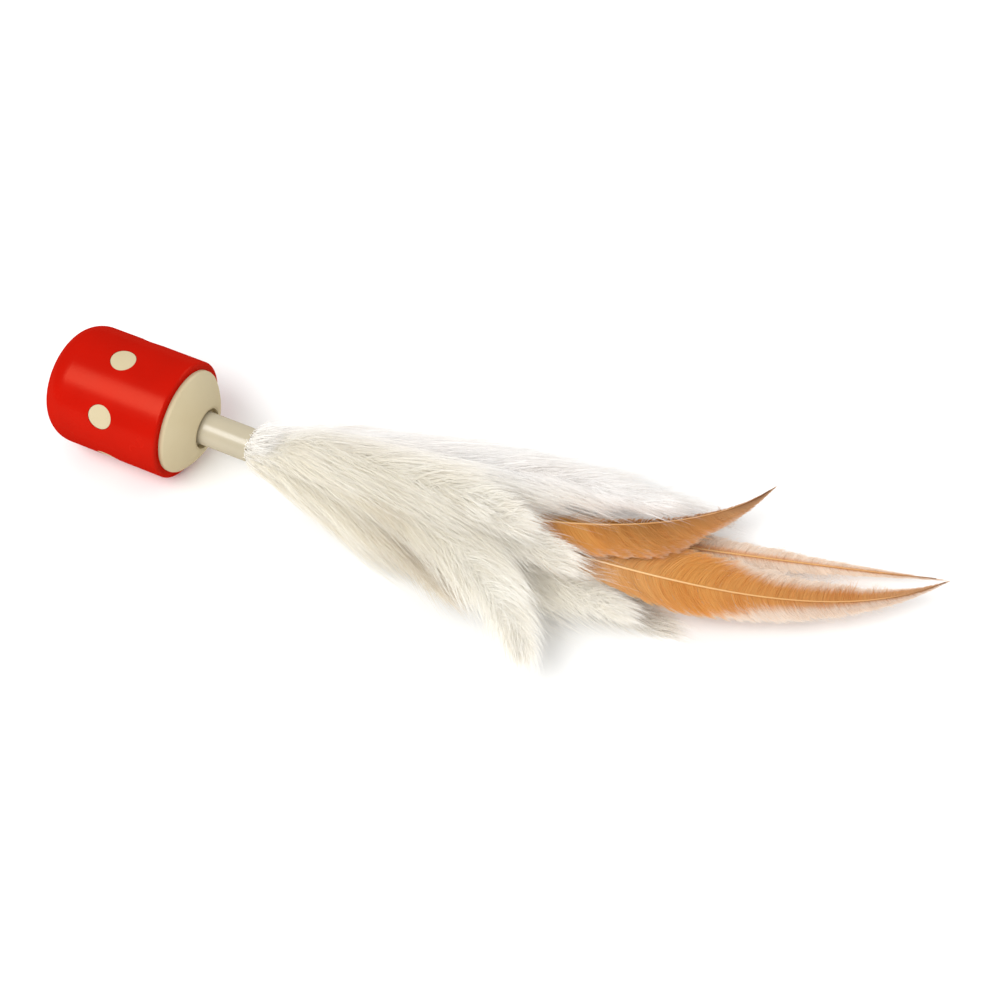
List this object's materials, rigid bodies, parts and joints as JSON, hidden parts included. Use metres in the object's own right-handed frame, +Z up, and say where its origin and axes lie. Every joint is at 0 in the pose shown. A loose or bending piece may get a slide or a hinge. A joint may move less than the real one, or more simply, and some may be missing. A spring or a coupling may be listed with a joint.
{
  "type": "cat teaser feather lure",
  "caption": "Barrel-shaped moulded head with round inset dots and a domed cap, and a spinning tube that holds a long spray of soft feathers.",
  "frame": {"origin": "centre of the flat back face of the head", "axes": "+X along the head's axis towards the feathers, +Z up as the lure lies on its side, floor at z = -0.013 m"},
  "size_m": [0.1861, 0.0622, 0.026],
  "materials": {
    "red_plastic": "satin moulded",
    "cream_plastic": "satin moulded",
    "hot_glue": "waxy, set hot glue",
    "white_down": "soft white down",
    "ginger_hackle": "silky ginger hackle with dark edges"
  },
  "bodies": {
    "head": {"red_sleeve": "red_plastic", "cream_core": "cream_plastic", "front_cap": "cream_plastic"},
    "spray": {"stem": "cream_plastic", "glue_plug": "hot_glue", "white_plume_1": "white_down", "white_plume_2": "white_down", "white_plume_3": "white_down", "ginger_hackle_1": "ginger_hackle", "white_plume_4": "white_down", "white_plume_5": "white_down", "ginger_hackle_2": "ginger_hackle", "ginger_hackle_3": "ginger_hackle", "white_plume_6": "white_down", "white_plume_7": "white_down", "white_plume_8": "white_down", "white_plume_9": "white_down", "white_plume_10": "white_down"}
  },
  "joints": [
    {"name": "stem_spin", "type": "hinge", "parent": "head", "child": "spray", "pos_m": [0.025, 0, 0], "axis": [1, 0, 0], "continuous": true}
  ]
}
